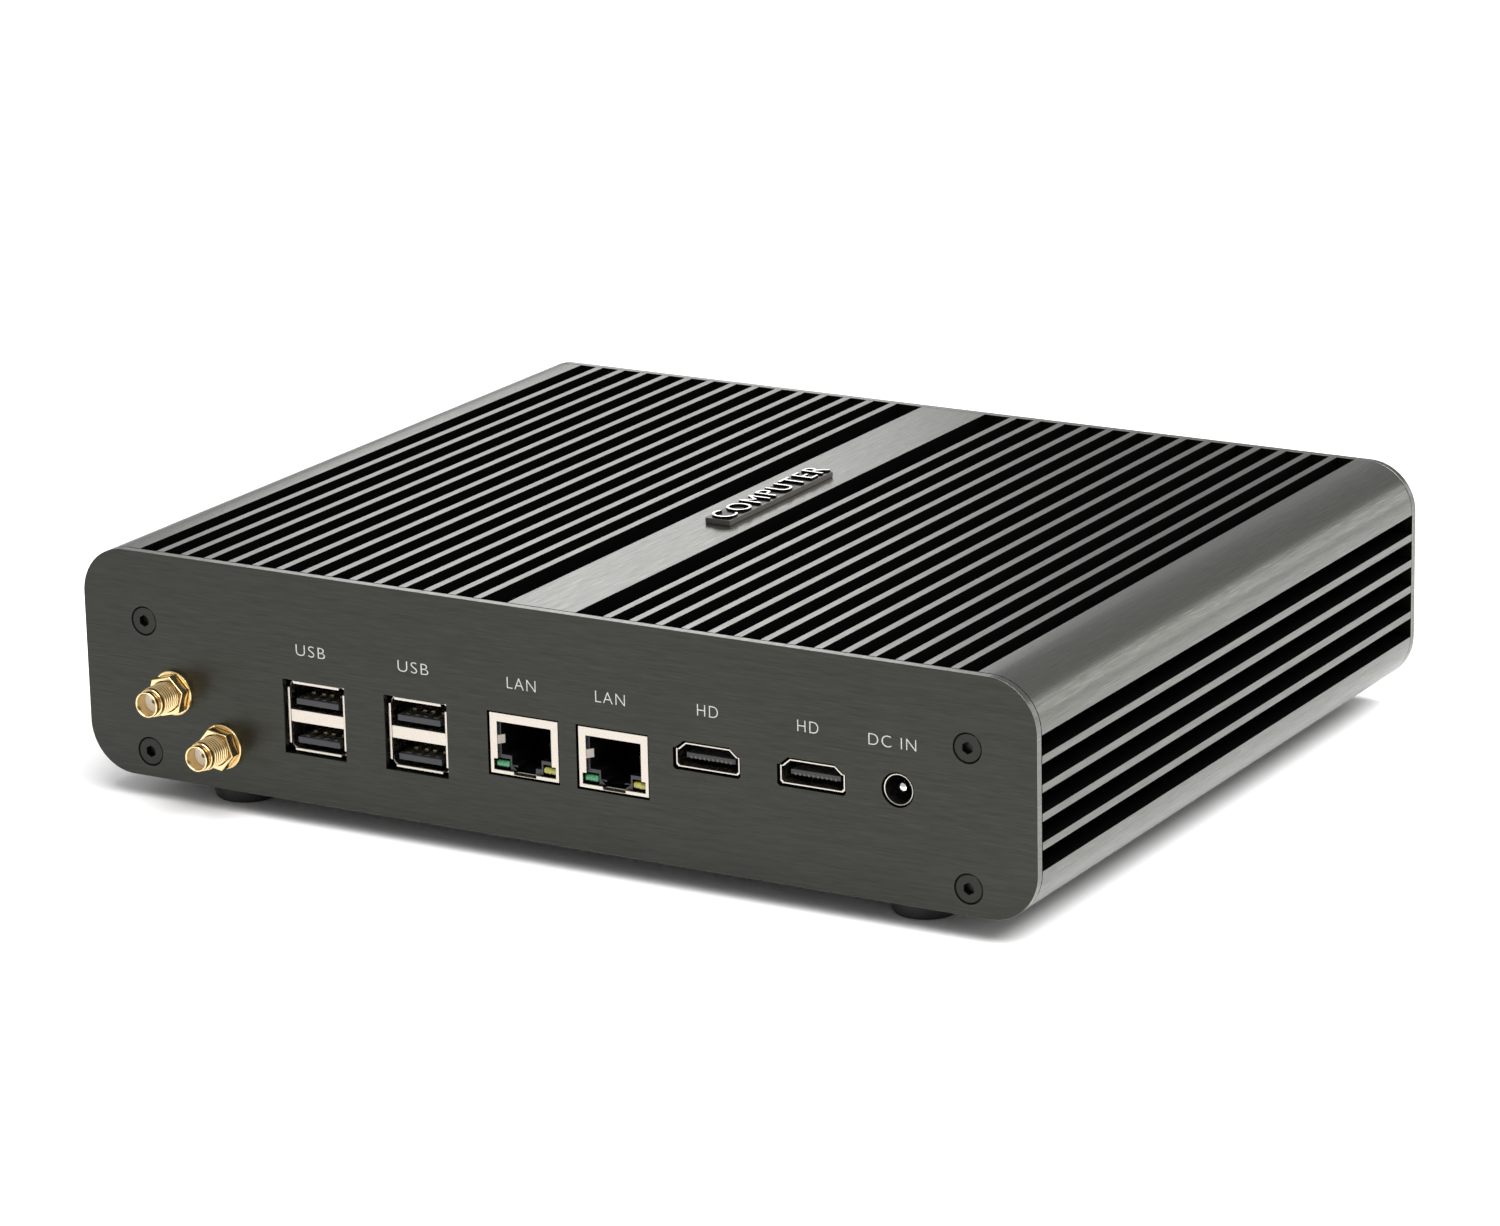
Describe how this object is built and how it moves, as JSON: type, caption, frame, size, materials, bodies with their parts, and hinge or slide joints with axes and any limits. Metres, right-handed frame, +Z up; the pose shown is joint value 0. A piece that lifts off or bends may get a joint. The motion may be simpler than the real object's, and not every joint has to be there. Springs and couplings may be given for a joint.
{
  "type": "fanless mini computer",
  "caption": "Fanless desktop computer in a finned extruded aluminium enclosure, with a socket panel, antenna sockets and a sprung power button on the opposite panel.",
  "frame": {"origin": "on the surface the feet stand on, at the centre of the object's bounding box seen from above", "axes": "+X to the right when looking at the socket panel, +Y from the socket panel towards the control panel, along the fins, +Z up"},
  "size_m": [0.224, 0.1892, 0.0561],
  "materials": {
    "case_metal": "dark anodised extrusion, brushed along the fins",
    "cover_metal": "black painted sheet, fine satin",
    "panel_metal": "dark grey anodised plate, brushed sideways",
    "screw_steel": "black oxide",
    "foot_rubber": "matt black",
    "nameplate_metal": "polished raised blocks on a plain base",
    "socket_steel": "bright nickel plate",
    "insert_plastic": "dark grey moulding",
    "black_plastic": "black moulding",
    "pin_metal": "bright plate",
    "gold_plate": "bright gold plate",
    "lead_jacket": "thin black jacket",
    "button_metal": "satin, turned face",
    "light_ring": "milky light guide",
    "board_laminate": "green solder mask",
    "chip_package": "grey package",
    "block_aluminium": "milled block"
  },
  "bodies": {
    "computer": {"antenna_lead_1": "lead_jacket", "antenna_lead_2": "lead_jacket", "antenna_nut_1": "gold_plate", "antenna_nut_2": "gold_plate", "antenna_socket_1": "gold_plate", "antenna_socket_2": "gold_plate", "antenna_washer_1": "gold_plate", "antenna_washer_2": "gold_plate", "board_screw_1": "screw_steel", "board_screw_2": "screw_steel", "board_screw_3": "screw_steel", "board_screw_4": "screw_steel", "bottom_cover": "cover_metal", "clock_battery": "socket_steel", "control_panel": "panel_metal", "control_panel_screw_1": "screw_steel", "control_panel_screw_2": "screw_steel", "control_panel_screw_3": "screw_steel", "control_panel_screw_4": "screw_steel", "cover_screw_1": "screw_steel", "cover_screw_2": "screw_steel", "cover_screw_3": "screw_steel", "cover_screw_4": "screw_steel", "display_insert_1": "black_plastic", "display_insert_2": "black_plastic", "display_shell_1": "socket_steel", "display_shell_2": "socket_steel", "foot_1": "foot_rubber", "foot_2": "foot_rubber", "foot_3": "foot_rubber", "foot_4": "foot_rubber", "front_usb_socket_1": "socket_steel", "front_usb_socket_2": "socket_steel", "heat_block": "block_aluminium", "heatsink_case": "case_metal", "io_panel": "panel_metal", "io_panel_screw_1": "screw_steel", "io_panel_screw_2": "screw_steel", "io_panel_screw_3": "screw_steel", "io_panel_screw_4": "screw_steel", "lan_housing_1": "black_plastic", "lan_housing_2": "black_plastic", "lan_shell_1": "socket_steel", "lan_shell_2": "socket_steel", "mainboard": "board_laminate", "memory_module": "board_laminate", "memory_socket": "black_plastic", "nameplate": "nameplate_metal", "power_button_ring": "light_ring", "power_inlet": "black_plastic", "power_inlet_pin": "pin_metal", "power_switch": "black_plastic", "processor": "chip_package", "storage_card": "board_laminate", "usb_insert_1": "insert_plastic", "usb_insert_2": "insert_plastic", "usb_shell_1": "socket_steel", "usb_shell_2": "socket_steel", "wireless_card": "board_laminate"},
    "button": {"power_button": "button_metal"}
  },
  "joints": [
    {"name": "power_button_press", "type": "slide", "parent": "computer", "child": "button", "axis": [0, -1, 0], "range_m": [0, 0.0015], "stiffness_N_per_m": 900, "springref_m": -0.001}
  ]
}
